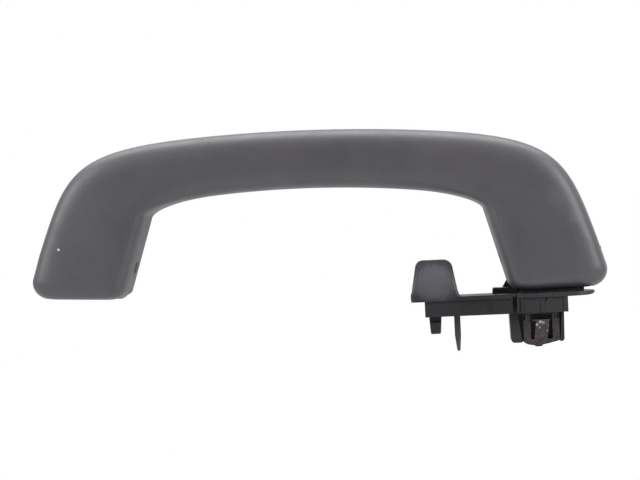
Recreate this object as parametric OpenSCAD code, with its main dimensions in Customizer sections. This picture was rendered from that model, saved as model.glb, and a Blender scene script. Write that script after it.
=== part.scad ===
// Roof grab handle of a car with its right-hand hinge bracket and coat hook.
// The origin is the middle of the bracket's seat on the roof, on the axis of its clip tower.
// X runs along the handle, Y from the viewer to the back, Z from the roof to the grip.

/* [Handle] */
// Distance from the middle of the handle to the clip tower
mount_offset = 93; // [88:0.5:98]
// Half length of the nearly straight middle of the bar
grip_flat = 40; // [32:1:44]
// Height of the bar's top above the hinge axis
grip_top = 57; // [52:0.5:62]
// Height of the bar's underside above the hinge axis
grip_under = 32.2; // [28:0.1:35]
// Radius of the long crown along the bar's top
top_radius = 713; // [500:1:1200]
// Radius of the long arch under the bar
under_radius = 466; // [350:1:900]
// Distance from the middle to the leg's outer side, at the hinge axis
outer_half = 122; // [118:0.5:126]
// Distance from the middle to the leg's inner side, at the hinge axis
inner_half = 77.8; // [74:0.1:80]
// Lean of the leg's outer side
outer_lean = 19.8; // [15:0.1:24]
// Lean of the leg's inner side
inner_lean = 17.1; // [13:0.1:21]
// Reach of the shoulder's outer curve along the bar
outer_pull = 58; // [45:0.5:64]
// Reach of the shoulder's outer curve up the leg
outer_tuck = 28.5; // [20:0.5:34]
// Reach of the shoulder's inner curve along the bar
inner_pull = 10.6; // [6:0.1:14]
// Reach of the shoulder's inner curve up the leg
inner_tuck = 5.7; // [3:0.1:8]
// Straight length of the leg's outer side above the hinge axis
outer_line = 19; // [14:0.5:24]
// Straight length of the leg's inner side above the hinge axis
inner_line = 22.3; // [18:0.1:25]
// Front of the bar, ahead of the hinge axis
bar_front = 12; // [10:0.1:13]
// Back of the bar, behind the hinge axis
bar_back = 7.4; // [6:0.1:9]
// Squareness of the bar's section, where 2 is an ellipse
bar_square = 2.7; // [2.2:0.1:4]
// Squareness of the leg's section
leg_square = 5.4; // [4:0.1:7]
// Slant of the leg's inner side towards the front edge
inner_draft = 2.6; // [0:0.1:3]
// Slant of the leg's outer side towards the front edge
outer_draft = 1.2; // [0:0.1:2]

/* [Feet] */
// Front of the leg, ahead of the hinge axis
leg_front = 13; // [12:0.1:14]
// Back of the leg, behind the hinge axis
leg_back = 11.5; // [11:0.1:11.8]
// Depth of the foot's outer corner under the hinge axis
foot_outer = 12.5; // [12:0.1:13.4]
// Depth of the foot's inner corner under the hinge axis
foot_inner = 13.6; // [12.5:0.1:13.8]
// Radius of the foot's outer corner
foot_outer_r = 6.3; // [4:0.1:7]
// Radius of the foot's inner corner
foot_inner_r = 5; // [3:0.1:6]
// Radius of the foot's front edge
foot_front_r = 5.5; // [4:0.1:6]
// Radius of the foot's back edge
foot_back_r = 2; // [1:0.1:3]
// Wall of the hollow foot
foot_wall = 2.6; // [2.2:0.1:3]
// Height of the hollow above the hinge axis
hollow_top = 13.5; // [13:0.1:16]
// Radius of the hollow's front corners
hollow_r = 5; // [3:0.1:6]
// Radius about the hinge axis of the foot's lower back, which turns past the bracket
sweep_r = 11.3; // [10.8:0.1:11.4]

/* [Hinge] */
// Height of the hinge axis above the seat
pivot_z = 23; // [22.8:0.1:24]
// Radius of the hinge pin
pin_r = 2.2; // [1.8:0.1:2.5]
// Running clearance of the pin in the ears
pin_play = 0.05; // [0.03:0.01:0.1]
// Clearance of parts that are pressed or keyed together
press_play = 0.02; // [0.01:0.01:0.04]
// Depth of the pin's end inside the leg's inner side
pin_recess = 1.2; // [0.8:0.1:2]
// Radius of the bosses round the pin in the leg
boss_r = 4.6; // [4:0.1:5.5]
// Radius of the bracket's ears
ear_r = 6.8; // [6:0.1:7]
// Thickness of each ear
ear_t = 2.5; // [2:0.1:3]
// Left face of the left ear
ear_left = -6.9; // [-7:0.1:-6]
// Right face of the right ear
ear_right = 19.2; // [17:0.1:19.4]
// Running gap between faces that turn past each other
side_gap = 0.3; // [0.2:0.05:0.5]

/* [Damper] */
// Outer radius of the damper
damper_r = 6.4; // [6:0.1:6.8]
// Wall of the damper
damper_wall = 1.1; // [0.9:0.1:1.4]
// Thickness of the damper's end wall and cap
damper_end = 1.3; // [1:0.1:1.6]
// Radius of the rotor's shaft
rotor_shaft_r = 3.2; // [3:0.1:3.5]
// Oil gap round the rotor's drum
oil_gap = 0.2; // [0.15:0.05:0.3]
// Thickness of the seal ring
seal_t = 1.1; // [0.9:0.05:1.2]
// Width of the damper's foot
damper_foot_w = 6; // [4:0.5:8]

/* [Base] */
// Left end of the cover plate
plate_left = -52.7; // [-55:0.1:-51.5]
// Right tip of the cover plate
plate_right = 24.2; // [22:0.1:26]
// Front edge of the cover plate
plate_front = 13; // [12.8:0.1:13.5]
// Back edge of the cover plate
plate_back = 12.2; // [12.1:0.1:13]
// Thickness of the cover plate
plate_t = 2; // [1.6:0.1:2.2]
// Thickness of the cover plate's right tip
tip_t = 0.9; // [0.7:0.1:1.2]
// Depth of the skirt under the plate
skirt_h = 6.5; // [6:0.1:6.6]
// Left end of the skirt
skirt_left = -46.7; // [-48:0.1:-46]
// Right end of the skirt
skirt_right = 13.4; // [13:0.1:15]
// Inset of the skirt from the plate's front and back edges
skirt_inset = 1; // [0.8:0.1:1.5]
// Wall of the skirt
skirt_wall = 1.8; // [1.4:0.1:2]
// Where the hook module ends and the bracket starts, in the skirt
skirt_seam = -11.9; // [-12.4:0.1:-11.8]
// Where the hook module ends and the bracket starts, in the plate
plate_seam = -9.4; // [-10.5:0.1:-9]
// Open seam between the two mouldings
seam_gap = 0.25; // [0.15:0.05:0.4]
// Height of the pedestal above the seat
pedestal_top = 11; // [10.6:0.1:11]
// Left end of the pedestal, behind the leg
pedestal_left = -18.2; // [-19:0.1:-17]
// Left end of the rear wall at its foot
rear_left = -14.6; // [-14.6:0.1:-13.5]
// Slant of the rear wall's left end
rear_slant = 1.2; // [0.5:0.1:2]
// Height of the rear wall above the seat
rear_top = 15.5; // [14:0.1:15.8]
// Front of the rear wall, behind the hinge axis
rear_front = 9.2; // [9.1:0.1:10]

/* [Coat hook] */
// Left end of the hook's root
hook_left = -52.2; // [-53:0.1:-51.5]
// Right end of the hook's root
hook_right = -33; // [-35:0.1:-32]
// Left end of the hook's tip
tip_left = -50; // [-50.5:0.1:-48.5]
// Right end of the hook's tip
tip_right = -37.3; // [-38.5:0.1:-36.5]
// Height of the hook's tip above the seat
hook_top = 22.7; // [20:0.1:26]
// Thickness of the hook's blade
hook_t = 3.4; // [2.8:0.1:4]
// How far the tip curls back
hook_curl = 6; // [3:0.1:8]
// Radius of the tip's left corner
tip_left_r = 2.1; // [1.5:0.1:3]
// Radius of the tip's right corner
tip_right_r = 3.6; // [2.5:0.1:4.2]
// Radius of the fillet at the hook's right root
root_r = 3; // [2:0.1:4]

/* [Clip tower] */
// Left side of the tower at the seat
tower_left = -11.5; // [-11.7:0.1:-11]
// Right side of the tower at the seat
tower_right = 11.7; // [11:0.1:12.5]
// Half depth of the tower, front to back
tower_half = 6; // [5:0.1:7]
// Length of the tower's left cheek under the seat
left_cheek_len = 12.3; // [11:0.1:13]
// Length of the tower's right cheek under the seat
right_cheek_len = 10.9; // [10:0.1:12]
// Left side of the tower's core
core_left = -5.2; // [-5.6:0.1:-5]
// Right side of the tower's core
core_right = 8.9; // [8.4:0.1:9.1]
// Length of the core under the seat
core_len = 12; // [11.5:0.1:12.5]
// Thickness of the spring clip's sheet
clip_t = 0.8; // [0.6:0.1:1]
// Left side of the clip's tongue
tongue_left = -0.7; // [-1:0.1:0]
// Right side of the clip's tongue
tongue_right = 5; // [4.5:0.1:5.4]
// Width of the slots beside the tongue
tongue_slot = 1.7; // [1:0.1:2]
// Depth of the tongue's free end under the seat
tongue_top = 3.6; // [3:0.1:4.5]
// How far the tongue's free end stands out from the clip
tongue_out = 1.6; // [1:0.1:2]
// Middle of the nub under the core
nub_x = 0.4; // [0:0.1:1]
// Width of the nub
nub_w = 3.9; // [3:0.1:4.5]
// Length of the nub under the core
nub_len = 2.8; // [2:0.1:3]

/* [Locating lug and pin] */
// Left side of the locating lug
lug_left = -44.9; // [-45:0.1:-44]
// Width of the locating lug
lug_w = 5.4; // [4:0.1:6]
// Length of the locating lug under the seat
lug_len = 8.2; // [7:0.1:9]
// Thickness of the panel that the lug hooks under
panel_t = 1.8; // [1:0.1:2.5]
// Middle of the locating pin
fin_x = -33; // [-34:0.1:-32]
// Width of the locating pin at its root
fin_root = 2.9; // [2.5:0.1:3.5]
// Width of the locating pin at its tip
fin_tip = 1; // [0.8:0.1:1.4]
// Length of the locating pin under the seat
fin_len = 15.3; // [12:0.1:18]
// Depth of the locating pin, front to back
fin_depth = 5; // [4:0.1:6]

/* [Hidden] */

smooth = 64;
over = 1;
section_points = 36;
bar_steps = 4;
shoulder_steps = 15;
foot_steps = 5;
mean_lean = (outer_lean + inner_lean) / 2;
ear_inner_left = ear_left + ear_t;
ear_inner_right = ear_right - ear_t;
pedestal_drop = pivot_z - pedestal_top;
plate_top = skirt_h + plate_t;
skirt_front = -plate_front + skirt_inset;
skirt_back = plate_back - skirt_inset;
hollow_inner = inner_half + foot_wall * 1.2;
hollow_outer = outer_half - foot_wall * 1.15;
pin_left = inner_half + pin_recess - mount_offset;
pin_right = hollow_outer - mount_offset - 1;
damper_left = ear_inner_left + side_gap;
damper_right = ear_inner_right - side_gap;
damper_bore_r = damper_r - damper_wall;
shaft_hole_r = rotor_shaft_r + pin_play;
drum_r = damper_bore_r - oil_gap;
drum_left = damper_left + damper_end + seal_t + 0.1;
drum_right = damper_right - damper_end - oil_gap;
clip_front = tower_half + clip_t;

// A point or a value between two others
function mix(a, b, k) = a + (b - a) * k;
function ease(k) = k * k * (3 - 2 * k);
function lean_dir(lean) = [sin(lean), -cos(lean)];
function on_circle(centre, r, angle) = centre + r * [cos(angle), sin(angle)];
function arc_points(centre, r, from, to, steps) =
    [for (i = [0:steps]) on_circle(centre, r, mix(from, to, i / steps))];
function bezier(p, t) =
    let (s = 1 - t)
    s * s * s * p[0] + 3 * s * s * t * p[1] + 3 * s * t * t * p[2] + t * t * t * p[3];
function long_arc(top, r, x) = [x, top - r + sqrt(r * r - x * x)];

// The shoulder's curve from the end of the bar's arc to the start of the leg's straight side
function shoulder(top, r, half, lean, pull, tuck, line) =
    let (start = long_arc(top, r, grip_flat))
    let (tilt = asin(grip_flat / r))
    let (end = [half, 0] - lean_dir(lean) * line)
    [start, start + pull * [cos(tilt), -sin(tilt)], end - tuck * lean_dir(lean), end];
outer_curve = shoulder(grip_top, top_radius, outer_half, outer_lean, outer_pull, outer_tuck, outer_line);
inner_curve =
    shoulder(grip_under, under_radius, inner_half, inner_lean, inner_pull, inner_tuck, inner_line);

// Centres of the foot's two rounded corners, tangent to the leg's sides and to the foot's underside
outer_centre = [outer_half + foot_outer * tan(outer_lean)
    - foot_outer_r * tan(45 + outer_lean / 2), foot_outer_r - foot_outer];
inner_centre = [inner_half + foot_inner * tan(inner_lean)
    + foot_inner_r * tan(45 - inner_lean / 2), foot_inner_r - foot_inner];

// A station of the loft: outer point, inner point, front, back, squareness and share of the draft
function bar_station(k) =
    [long_arc(grip_top, top_radius, grip_flat * k), long_arc(grip_under, under_radius, grip_flat * k),
        bar_front, bar_back, bar_square, 0];
function shoulder_station(t) =
    let (k = ease(t))
    [bezier(outer_curve, t), bezier(inner_curve, t), mix(bar_front, leg_front, k),
        mix(bar_back, leg_back, k), mix(bar_square, leg_square, k), k];
function foot_station(t) =
    let (turn = 90 * t)
    [on_circle(outer_centre, foot_outer_r, mix(outer_lean, -90, t)),
        on_circle(inner_centre, foot_inner_r, mix(180 + inner_lean, 270, t)),
        leg_front - foot_front_r * (1 - cos(turn)), leg_back - foot_back_r * (1 - cos(turn)),
        leg_square, 1];
half_stations = concat(
    [for (i = [0:bar_steps - 1]) bar_station(i / bar_steps)],
    [for (i = [0:shoulder_steps]) shoulder_station(i / shoulder_steps)],
    [for (i = [0:foot_steps]) foot_station(i / foot_steps)]);
function mirrored(s) = [[-s[0][0], s[0][1]], [-s[1][0], s[1][1]], s[2], s[3], s[4], s[5]];
stations = concat(
    [for (i = [len(half_stations) - 1:-1:1]) mirrored(half_stations[i])], half_stations);

// The rounded section at a station, from its outer point through the back to the front
function power(c, n) = sign(c) * pow(abs(c), 2 / n);
function section(s) =
    let (middle = (s[0] + s[1]) / 2)
    let (half = (s[0] - s[1]) / 2)
    let (reach = norm(half))
    let (depth = (s[2] + s[3]) / 2)
    [for (i = [0:section_points - 1])
        let (turn = 360 * i / section_points)
        let (u = power(cos(turn), s[4]))
        let (v = power(sin(turn), s[4]))
        let (forward = pow((1 - v) / 2, 1.5) * s[5] / reach / 2)
        let (w = u + forward * (inner_draft * (1 - u) - outer_draft * (1 + u)))
        let (p = middle + half * w)
        [p[0], (s[3] - s[2]) / 2 + depth * v, p[1]]];

module loft(stations) {
    n = section_points;
    rings = len(stations);
    points = [for (s = stations) each section(s)];
    sides = [for (i = [0:rings - 2], j = [0:n - 1])
        let (a = i * n + j)
        let (b = i * n + (j + 1) % n)
        each [[a, b, b + n], [a, b + n, a + n]]];
    first = [for (j = [n - 1:-1:0]) j];
    last = [for (j = [0:n - 1]) (rings - 1) * n + j];
    polyhedron(points, concat([first, last], sides), convexity = 6);
}

// A flat shape drawn in X and Z, drawn out from one depth to another
module along_y(y0, y1) {
    translate([0, y1, 0]) rotate([90, 0, 0]) linear_extrude(y1 - y0) children();
}

// A flat shape drawn in Y and Z, drawn out from one X to another
module along_x(x0, x1) {
    translate([x0, 0, 0]) rotate([90, 0, 90]) linear_extrude(x1 - x0) children();
}

module rod(r, x0, x1) {
    translate([x0, 0, 0]) rotate([0, 90, 0]) cylinder(r = r, h = x1 - x0, $fn = smooth);
}

module block(x0, x1, y0, y1, z0, z1) {
    translate([x0, y0, z0]) cube([x1 - x0, y1 - y0, z1 - z0]);
}

// The hollow of one foot, with an even wall round the foot's rounded edges
module foot_hollow() {
    far = leg_back + 10;
    lip_r = foot_outer_r - foot_wall;
    edge_r = foot_front_r - foot_wall;
    edge_y = foot_front_r - leg_front;
    edge_z = foot_front_r - (foot_outer + foot_inner) / 2;
    width = (hollow_outer - hollow_inner) * cos(mean_lean);
    intersection() {
        translate([(hollow_inner + hollow_outer) / 2, 0, 0]) rotate([0, -mean_lean, 0])
            translate([-width / 2, 0, -40]) linear_extrude(80) polygon(concat(
                [[width, far], [0, far]],
                arc_points([hollow_r, hollow_r + foot_wall - leg_front], hollow_r, 180, 270, 8),
                arc_points([width - hollow_r, hollow_r + foot_wall - leg_front], hollow_r, 270, 360, 8)));
        along_x(inner_half - 20, outer_half + 20) polygon(concat(
            [[far, hollow_top], [foot_wall - leg_front, hollow_top]],
            arc_points([edge_y, edge_z], edge_r, 180, 270, 6),
            [[edge_y, -30], [far, -30]]));
        along_y(-20, far + 1) polygon(concat(
            [[inner_half - 10, 40], [inner_half - 10, -30], [outer_centre[0], -30]],
            arc_points(outer_centre, lip_r, -90, outer_lean, 8),
            [[outer_half + 10, outer_centre[1] + 12], [outer_half + 10, 40]]));
    }
}

// What is taken away from one foot, to turn past the bracket
module foot_sweep() {
    difference() {
        block(inner_half - 10, outer_half + 15, 0, leg_back + 5, -20, 0);
        rod(sweep_r, inner_half - 11, outer_half + 16);
    }
}

module foot_bosses() {
    boss_in = ear_left + mount_offset - side_gap;
    boss_out = ear_right + mount_offset + side_gap;
    rod(boss_r, inner_half + foot_wall, boss_in);
    rod(boss_r, boss_out, hollow_outer + 1);
}

module both_feet() {
    children();
    mirror([1, 0, 0]) children();
}

module handle_body() {
    color("#4c4a50") translate([-mount_offset, 0, pivot_z]) difference() {
        union() {
            difference() {
                loft(stations);
                both_feet() foot_hollow();
                both_feet() foot_sweep();
            }
            both_feet() foot_bosses();
        }
        both_feet() rod(pin_r + press_play, inner_half - 5, pin_right + mount_offset + side_gap);
    }
}

module hinge_pin() {
    color("#b9babd") translate([0, 0, pivot_z]) rod(pin_r, pin_left, pin_right);
}

module left_hinge_pin() {
    color("#b9babd") translate([-2 * mount_offset, 0, pivot_z])
        rod(pin_r, -pin_right, -pin_left);
}

// The damper between the ears: a fixed barrel, and a rotor that turns with the pin
module damper_housing() {
    color("#d8d4c6") translate([0, 0, pivot_z]) difference() {
        union() {
            rod(damper_r, damper_left, damper_right);
            block(damper_left + 3, damper_right - 3, -damper_foot_w / 2, damper_foot_w / 2,
                -pedestal_drop, -damper_r / 2);
        }
        rod(shaft_hole_r, damper_left - over, damper_right);
        rod(damper_bore_r, damper_left + damper_end, damper_right + over);
    }
}

module damper_rotor() {
    color("#e9e7df") translate([0, 0, pivot_z]) difference() {
        union() {
            rod(rotor_shaft_r, damper_left, damper_right);
            rod(drum_r, drum_left, drum_right);
        }
        rod(pin_r + press_play, damper_left - over, damper_right + over);
    }
}

module damper_cap() {
    color("#8d8f94") translate([0, 0, pivot_z]) difference() {
        rod(damper_bore_r - press_play, damper_right - damper_end, damper_right);
        rod(shaft_hole_r, damper_right - damper_end - over, damper_right + over);
    }
}

module damper_seal() {
    color("#1d1d1f") translate([damper_left + damper_end + 0.05 + seal_t / 2, 0, pivot_z])
        rotate([0, 90, 0]) rotate_extrude($fn = smooth)
            translate([shaft_hole_r + seal_t / 2, 0]) circle(d = seal_t, $fn = 24);
}

// The cover plate's outline seen from above, between two X values
module plate_outline(x0, x1) {
    corner = 9;
    intersection() {
        polygon(concat(
            arc_points([plate_left + 2, 2 - plate_front], 2, 180, 270, 6),
            arc_points([plate_right - corner, corner - plate_front], corner, 270, 360, 10),
            arc_points([plate_right - corner, plate_back - corner], corner, 0, 90, 10),
            arc_points([plate_left + 2, plate_back - 2], 2, 90, 180, 6)));
        translate([x0, -plate_front - 1]) square([x1 - x0, plate_front + plate_back + 2]);
    }
}

// The walls of the skirt between two X values, open underneath
module skirt_walls(x0, x1) {
    difference() {
        block(x0, x1, skirt_front, skirt_back, 0, skirt_h);
        block(x0 + skirt_wall, x1 - skirt_wall, skirt_front + skirt_wall, skirt_back - skirt_wall,
            -over, skirt_h);
    }
}

module ear(x0) {
    along_x(x0, x0 + ear_t) union() {
        translate([0, pivot_z]) circle(r = ear_r, $fn = smooth);
        translate([-ear_r, pedestal_top]) square([2 * ear_r, pedestal_drop]);
    }
}

// The pedestal in the foot's opening, and its wider part behind the hinge axis
module pedestal() {
    inside = ear_left - 0.1;
    block(inside, ear_right, -ear_r, plate_back - 0.4, plate_top, pedestal_top);
    block(pedestal_left, ear_right, 0.5, plate_back - 0.4, plate_top, pedestal_top);
    along_y(rear_front, plate_back - 0.4) polygon([
        [rear_left, pedestal_top], [rear_left + rear_slant, rear_top],
        [ear_right, rear_top], [ear_right, pedestal_top]]);
}

// One cheek of the clip tower, with a rounded lower end
module cheek(x0, x1, len, taper) {
    r = (x1 - x0 - taper) / 2 - 0.05;
    along_y(-tower_half, tower_half) polygon(concat(
        [[x0, skirt_h], [x0, 0]],
        arc_points([x0 + taper + r, r - len], r, 180, 270, 6),
        arc_points([x1 - r, r - len], r, 270, 360, 6),
        [[x1, skirt_h]]));
}

// The tower's core, with a window behind the tongue and a web that ties it to both cheeks
module tower_core() {
    web_front = tower_half - 3;
    difference() {
        union() {
            block(core_left, core_right, -tower_half, tower_half, -core_len, skirt_h);
            along_y(-nub_w / 2, nub_w / 2) polygon([
                [nub_x - nub_w / 2, -core_len], [nub_x - nub_w / 2 + 0.9, -core_len - nub_len],
                [nub_x + nub_w / 2 - 0.5, -core_len - nub_len], [nub_x + nub_w / 2, -core_len]]);
            block(tower_left + 1, tower_right - 1, web_front, tower_half - 1, -core_len + 3, -tongue_top);
        }
        block(tongue_left - tongue_slot, tongue_right + tongue_slot, -tower_half - over,
            -tower_half + 3.2, -core_len + 1, -0.4);
        block(tongue_left - tongue_slot, tongue_right + tongue_slot, tower_half - 3.2,
            tower_half + over, -core_len + 1, -0.4);
    }
}

module skirt_ribs() {
    for (x = [-8.2, -6.1]) block(x, x + 0.9, skirt_front - 0.5, skirt_front + 0.5, 0, skirt_h - 1.2);
    block(1.9, 2.9, skirt_front - 0.4, skirt_front + 0.5, 0, skirt_h - 1);
    block(9.8, skirt_right, skirt_front - 0.4, skirt_front + 0.5, 0, skirt_h);
}

module hinge_bracket() {
    tongue_l = 4.5;
    color("#39383d") difference() {
        union() {
            intersection() {
                translate([0, 0, skirt_h]) linear_extrude(plate_t)
                    plate_outline(plate_seam, plate_right);
                along_y(-20, 20) polygon([
                    [plate_seam, skirt_h], [skirt_right + 1, skirt_h], [plate_right, plate_top - tip_t],
                    [plate_right, plate_top], [plate_seam, plate_top]]);
            }
            skirt_walls(skirt_seam + seam_gap, skirt_right);
            skirt_ribs();
            block(skirt_seam - tongue_l, skirt_seam + 2, -4, 4, 2.6, 4.6);
            pedestal();
            ear(ear_left);
            ear(ear_inner_right);
            cheek(tower_left, tower_left + 3.4, left_cheek_len, 0.7);
            cheek(tower_right - 1.6, tower_right, right_cheek_len, 0);
            tower_core();
        }
        translate([0, 0, pivot_z]) rod(pin_r + pin_play, ear_left - over, ear_right + over);
    }
}

// The coat hook's outline seen from the front
module hook_outline() {
    polygon(concat(
        [[hook_left, plate_top - 1], [tip_left, hook_top - tip_left_r]],
        arc_points([tip_left + tip_left_r, hook_top - tip_left_r], tip_left_r, 170, 90, 6),
        arc_points([tip_right - tip_right_r, hook_top - tip_right_r], tip_right_r, 90, 14, 8),
        arc_points([hook_right + root_r, plate_top + root_r], root_r, 194, 270, 8),
        [[hook_right + root_r, plate_top - 1]]));
}

// The coat hook's blade seen from the side, which curls back towards its tip
module hook_profile() {
    rise = hook_top - plate_top;
    bend_r = (rise * rise + hook_curl * hook_curl) / (2 * hook_curl);
    bend = asin(rise / bend_r);
    polygon(concat(
        [[hook_t + 2 - plate_front, plate_top - 1], [-plate_front, plate_top - 1]],
        arc_points([bend_r - plate_front, plate_top], bend_r, 180, 180 - bend, 12),
        arc_points([bend_r - plate_front, plate_top], bend_r - hook_t, 180 - bend, 180, 12)));
}

module locating_lug() {
    lip = 1.6;
    along_x(lug_left, lug_left + lug_w) polygon([
        [-6, skirt_h], [-8.6, skirt_h], [-8.6, -panel_t], [-8.6 - lip, -panel_t - 0.6],
        [-8.6 - lip, 1 - lug_len], [-8, -lug_len], [-6, -lug_len]]);
}

module locating_pin() {
    along_y(-fin_depth / 2, fin_depth / 2) polygon([
        [fin_x - fin_root / 2, skirt_h], [fin_x - fin_root / 2, 0],
        [fin_x - fin_tip / 2 + 0.3, -fin_len], [fin_x + fin_tip / 2 + 0.3, -fin_len],
        [fin_x + fin_root / 2 - 0.4, -1.4], [fin_x + fin_root / 2, 0], [fin_x + fin_root / 2, skirt_h]]);
}

module coat_hook_module() {
    rib_t = 1.4;
    right = skirt_seam - seam_gap;
    color("#3f3e43") difference() {
        union() {
            translate([0, 0, skirt_h]) linear_extrude(plate_t)
                plate_outline(plate_left, plate_seam - seam_gap);
            skirt_walls(skirt_left, right);
            for (x = [lug_left + lug_w, fin_x - rib_t / 2])
                block(x, x + rib_t, skirt_front + 1, skirt_back - 1, 1, skirt_h + 0.5);
            intersection() {
                along_y(-20, 20) hook_outline();
                along_x(hook_left - 1, hook_right + root_r + 1) hook_profile();
            }
            locating_lug();
            locating_pin();
        }
        block(right - skirt_wall - over, right + over, -4.2, 4.2, 2.4, 4.8);
    }
}

// The U-shaped spring clip, hung round the core from below, with a tongue cut free on each side
module clip_leg() {
    slot_top = -tongue_top + 0.4;
    slot_foot = 1.4 - core_len;
    difference() {
        block(core_left, core_right, -clip_front, -tower_half, -core_len - clip_t, -0.3);
        block(tongue_left - tongue_slot, tongue_right + tongue_slot, -clip_front - over,
            -tower_half + over, slot_foot, -0.8);
    }
    along_x(tongue_left, tongue_right) polygon([
        [-tower_half, slot_foot - 0.1], [-tower_half - tongue_out, -tongue_top],
        [-clip_front - tongue_out, -tongue_top], [-clip_front, slot_foot - 0.1]]);
    translate([0, 0, 0]) block(tongue_left, tongue_right, -clip_front, -tower_half,
        slot_foot - 0.2, slot_foot + 0.1);
}

module spring_clip() {
    color("#5b5557") difference() {
        union() {
            clip_leg();
            mirror([0, 1, 0]) clip_leg();
            block(core_left, core_right, -clip_front, clip_front, -core_len - clip_t, -core_len);
        }
        block(nub_x - nub_w / 2 - 0.1, nub_x + nub_w / 2 + 0.1, -nub_w / 2 - 0.1, nub_w / 2 + 0.1,
            -core_len - clip_t - over, -core_len + 0.01);
    }
}

handle_body();
hinge_bracket();
coat_hook_module();
hinge_pin();
left_hinge_pin();
damper_housing();
damper_rotor();
damper_cap();
damper_seal();
spring_clip();
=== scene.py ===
"""Looks of the roof grab handle: a smooth grip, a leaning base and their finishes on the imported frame."""
import math

import bmesh
import bpy
import numpy as np
from mathutils import Matrix, Vector


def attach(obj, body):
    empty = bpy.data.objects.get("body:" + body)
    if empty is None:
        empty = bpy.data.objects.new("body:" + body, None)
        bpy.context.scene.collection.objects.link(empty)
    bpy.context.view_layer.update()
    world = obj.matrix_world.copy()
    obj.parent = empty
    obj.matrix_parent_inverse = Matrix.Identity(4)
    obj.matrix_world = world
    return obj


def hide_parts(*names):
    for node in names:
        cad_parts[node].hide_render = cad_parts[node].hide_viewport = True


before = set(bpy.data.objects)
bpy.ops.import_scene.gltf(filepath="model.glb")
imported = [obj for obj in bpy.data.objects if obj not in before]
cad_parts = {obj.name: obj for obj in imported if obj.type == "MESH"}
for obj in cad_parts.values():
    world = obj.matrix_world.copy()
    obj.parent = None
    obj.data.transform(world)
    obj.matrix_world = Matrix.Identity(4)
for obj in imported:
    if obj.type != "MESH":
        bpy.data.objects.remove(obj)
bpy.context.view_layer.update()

MM = 0.001

# Camera, from the photograph: the handle's middle seen from slightly to its right
CAMERA_DISTANCE = 700.0
CAMERA_AZIMUTH = 4.88
CAMERA_ROLL = 1.53
MM_PER_PIXEL = 0.4265
IMAGE_WIDTH = 640
HANDLE_MIDDLE_PIXEL = 315.79
HANDLE_MIDDLE = (-93.0, 0.0, 33.11)
SENSOR = 36.0

# The white floor: how far it lies under the seat, its reach and its back edge, in metres
FLOOR_DROP = 0.15
FLOOR_REACH = 3.0
FLOOR_BACK = 0.5
FLOOR_GREY = (0.5, 0.5, 0.5, 1.0)
FLOOR_GLOW = 0.7

# How the room darkens towards the camera's side: from and to which direction, and the two greys
ROOM_SHADE = (-0.9, -0.15, 0.06, 1.0)
ROOM_LIGHT = 0.17

# The lamps: place, aim and size in metres, and power in watts
LAMPS = {
    "top": ((-0.09, 0.05, 0.5), (-0.09, 0, 0.05), (0.8, 0.35), 5.5),
    "left": ((-0.6, -0.35, 0.26), (-0.19, 0, 0.03), (0.3, 0.4), 3.9),
    "right": ((0.42, -0.35, 0.26), (0.01, 0, 0.03), (0.3, 0.4), 4.3),
}

# In the photograph the base leans by so many degrees against the hinge axis, and lies off in x and z
BASE_LEAN = 1.15
BASE_SHIFT = (-1.1, 0.5)

# The clip tower's distance from the handle's middle, and the hinge axis's height above the seat, in mm
MOUNT_OFFSET = 93.0
PIVOT_Z = 23.0

# The grip's driving sizes in millimetres and degrees, x from its middle and heights from the hinge axis
GRIP_FLAT = 40.0
GRIP_TOP = 56.9
GRIP_UNDER = 32.2
TOP_RADIUS = 694.0
UNDER_RADIUS = 456.0
OUTER_HALF = 122.0
INNER_HALF = 77.5
OUTER_LEAN = 18.3
INNER_LEAN = 16.7
OUTER_PULL = 63.9
OUTER_TUCK = 40.7
INNER_PULL = 18.5
INNER_TUCK = 2.7
OUTER_LINE = 6.0
INNER_LINE = 22.8
BAR_FRONT = 12.0
BAR_BACK = 7.4
BAR_SQUARE = 2.7
LEG_SQUARE = 5.4
INNER_DRAFT = 1.6
OUTER_DRAFT = 2.5
LEG_FRONT = 13.0
LEG_BACK = 10.9
FOOT_OUTER = 12.3
FOOT_INNER = 13.2
FOOT_OUTER_R = 7.2
FOOT_INNER_R = 5.1
FOOT_FRONT_R = 5.5
FOOT_BACK_R = 2.0
FOOT_WALL = 2.6
INNER_WALL = FOOT_WALL * 1.2
OUTER_WALL = FOOT_WALL * 1.15
HOLLOW_TOP = 13.5
HOLLOW_R = 5.0
HOLLOW_RISE = 12.0
SWEEP_R = 11.3
PIN_R = 2.2
PIN_PLAY = 0.02
BOSS_R = 4.6
SINK_WIDE = 1.5
SINK_DEEP = 1.6

# The ears and the pin's outer end in x from the clip tower, and the gap between an ear and a boss
EAR_LEFT = -6.9
EAR_RIGHT = 19.2
SIDE_GAP = 0.3
PIN_END = 25.01

# How far a cutting solid reaches past what it cuts
BEYOND = 20.0

# Fineness of the smooth grip
RING_POINTS = 220
SECTION_SAMPLES = 1441
DISC_STEPS = 72
BAR_RINGS = 26
SHOULDER_RINGS = 60
LEG_RINGS = 14
FOOT_RINGS = 14

# Where the section turns into the front face, and how the draft grows towards it
FRONT_SHARE = 0.9
DRAFT_POWER = 1.5

# Angles in degrees above which an edge stays sharp in the shading, or is rounded by a bevel
GRIP_SMOOTH = 34
BASE_SMOOTH = 40
BEVEL_ANGLE = 28

# The crease along the front of each leg, measured from its inner side, and where it starts on the shoulder
CREASE_START = 0.35
CREASE_INSET = 6.2
CREASE_WIDTH = 0.55
CREASE_DEPTH = 0.24
BEAD_INSET = 4.7
BEAD_WIDTH = 0.8
BEAD_HEIGHT = 0.14

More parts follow.
